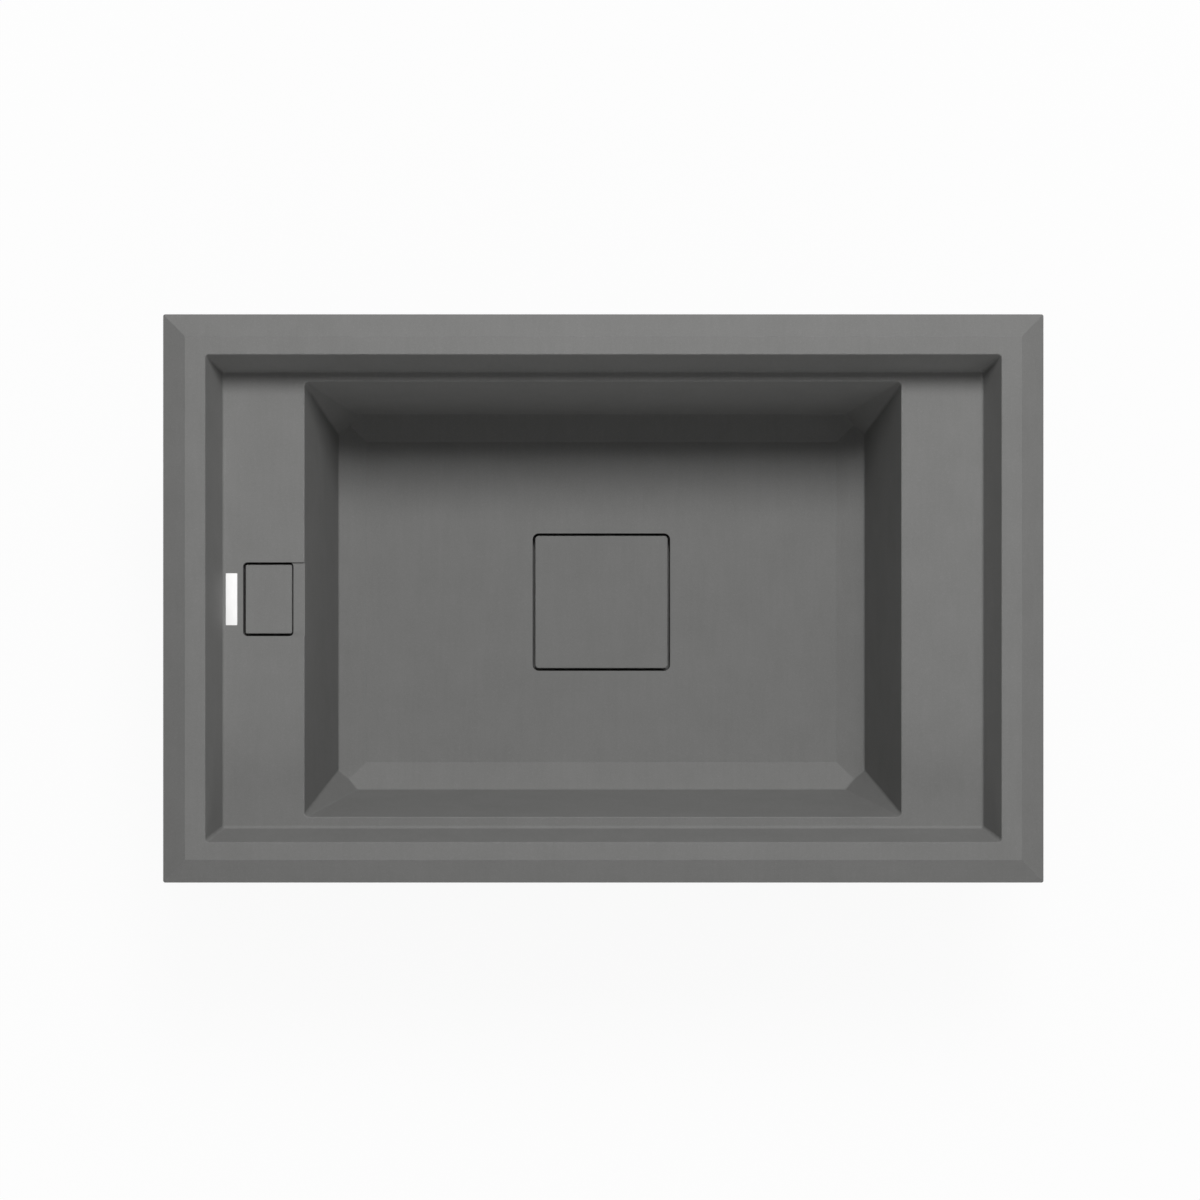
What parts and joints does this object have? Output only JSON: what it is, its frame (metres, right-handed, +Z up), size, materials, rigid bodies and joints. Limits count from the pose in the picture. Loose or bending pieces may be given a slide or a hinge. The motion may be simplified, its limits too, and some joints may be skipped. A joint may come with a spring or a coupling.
{
  "type": "single bowl kitchen sink",
  "caption": "Inset composite kitchen sink: a deep bowl with sunken ledges, a strainer waste under a flush cover, a ribbed overflow hose and swing-out fixing clips.",
  "frame": {"origin": "middle of the rim's underside, on the plane of the worktop", "axes": "+Z up, out of the bowl; +X along the sink, away from the overflow; +Y towards the back, the upper edge of the picture"},
  "size_m": [0.79, 0.51, 0.3075],
  "materials": {
    "composite": "matt cast quartz composite, mid grey, very fine grain",
    "plate_steel": "fine brushed, blank",
    "waste_steel": "pressed stainless, satin",
    "knob_steel": "turned stainless, satin",
    "screw_steel": "stainless",
    "claw_steel": "zinc plated, faintly mottled",
    "brass": "machined",
    "seal_rubber": "matt black",
    "foam_strip": "closed-cell foam",
    "waste_plastic": "moulded, faint spark texture",
    "hose_plastic": "semi-matt moulded grey"
  },
  "bodies": {
    "sink": {"basin": "composite", "rim_seal": "foam_strip", "badge_plate": "plate_steel", "waste_flange": "waste_steel", "flange_gasket": "seal_rubber", "body_gasket": "seal_rubber", "waste_body": "waste_plastic", "outlet_spigot": "waste_plastic", "waste_screw": "screw_steel", "waste_nut": "brass", "overflow_rose": "waste_steel", "overflow_screw": "screw_steel", "overflow_gasket": "seal_rubber", "overflow_tail": "waste_plastic", "overflow_hose": "hose_plastic", "hose_nuts": "waste_plastic", "hose_seals": "seal_rubber", "clip_sockets": "brass"},
    "basket": {"strainer_basket": "waste_steel", "basket_bush": "waste_plastic"},
    "stopper": {"stopper_knob": "knob_steel", "stopper_seal": "seal_rubber"},
    "waste_cover": {"waste_cover": "composite", "cover_feet": "seal_rubber"},
    "overflow_cover": {"overflow_cover": "composite"},
    "clip_screw_1": {"clip_screw_1": "screw_steel"},
    "claw_1": {"claw_1": "claw_steel"},
    "clip_screw_2": {"clip_screw_2": "screw_steel"},
    "claw_2": {"claw_2": "claw_steel"},
    "clip_screw_3": {"clip_screw_3": "screw_steel"},
    "claw_3": {"claw_3": "claw_steel"},
    "clip_screw_4": {"clip_screw_4": "screw_steel"},
    "claw_4": {"claw_4": "claw_steel"},
    "clip_screw_5": {"clip_screw_5": "screw_steel"},
    "claw_5": {"claw_5": "claw_steel"},
    "clip_screw_6": {"clip_screw_6": "screw_steel"},
    "claw_6": {"claw_6": "claw_steel"}
  },
  "joints": [
    {"name": "basket_lift", "type": "slide", "parent": "sink", "child": "basket", "axis": [0, 0, 1], "range_m": [0, 0.075]},
    {"name": "stopper_pull", "type": "slide", "parent": "basket", "child": "stopper", "axis": [0, 0, 1], "range_m": [0, 0.0075]},
    {"name": "waste_cover_lift", "type": "slide", "parent": "basket", "child": "waste_cover", "axis": [0, 0, 1], "range_m": [0, 0.06]},
    {"name": "overflow_cover_lift", "type": "slide", "parent": "sink", "child": "overflow_cover", "axis": [0, 0, 1], "range_m": [0, 0.04]},
    {"name": "clip_1_tighten", "type": "slide", "parent": "sink", "child": "clip_screw_1", "axis": [0, 0, 1], "range_m": [0, 0.014]},
    {"name": "claw_1_swing", "type": "hinge", "parent": "clip_screw_1", "child": "claw_1", "pos_m": [0.374, 0, -0.05675], "axis": [0, 0, 1], "range_deg": [0, 90]},
    {"name": "clip_2_tighten", "type": "slide", "parent": "sink", "child": "clip_screw_2", "axis": [0, 0, 1], "range_m": [0, 0.014]},
    {"name": "claw_2_swing", "type": "hinge", "parent": "clip_screw_2", "child": "claw_2", "pos_m": [0.23, 0.234, -0.05675], "axis": [0, 0, 1], "range_deg": [0, 90]},
    {"name": "clip_3_tighten", "type": "slide", "parent": "sink", "child": "clip_screw_3", "axis": [0, 0, 1], "range_m": [0, 0.014]},
    {"name": "claw_3_swing", "type": "hinge", "parent": "clip_screw_3", "child": "claw_3", "pos_m": [-0.23, 0.234, -0.05675], "axis": [0, 0, 1], "range_deg": [0, 90]},
    {"name": "clip_4_tighten", "type": "slide", "parent": "sink", "child": "clip_screw_4", "axis": [0, 0, 1], "range_m": [0, 0.014]},
    {"name": "claw_4_swing", "type": "hinge", "parent": "clip_screw_4", "child": "claw_4", "pos_m": [-0.374, 0, -0.05675], "axis": [0, 0, 1], "range_deg": [0, 90]},
    {"name": "clip_5_tighten", "type": "slide", "parent": "sink", "child": "clip_screw_5", "axis": [0, 0, 1], "range_m": [0, 0.014]},
    {"name": "claw_5_swing", "type": "hinge", "parent": "clip_screw_5", "child": "claw_5", "pos_m": [-0.23, -0.234, -0.05675], "axis": [0, 0, 1], "range_deg": [0, 90]},
    {"name": "clip_6_tighten", "type": "slide", "parent": "sink", "child": "clip_screw_6", "axis": [0, 0, 1], "range_m": [0, 0.014]},
    {"name": "claw_6_swing", "type": "hinge", "parent": "clip_screw_6", "child": "claw_6", "pos_m": [0.23, -0.234, -0.05675], "axis": [0, 0, 1], "range_deg": [0, 90]}
  ]
}
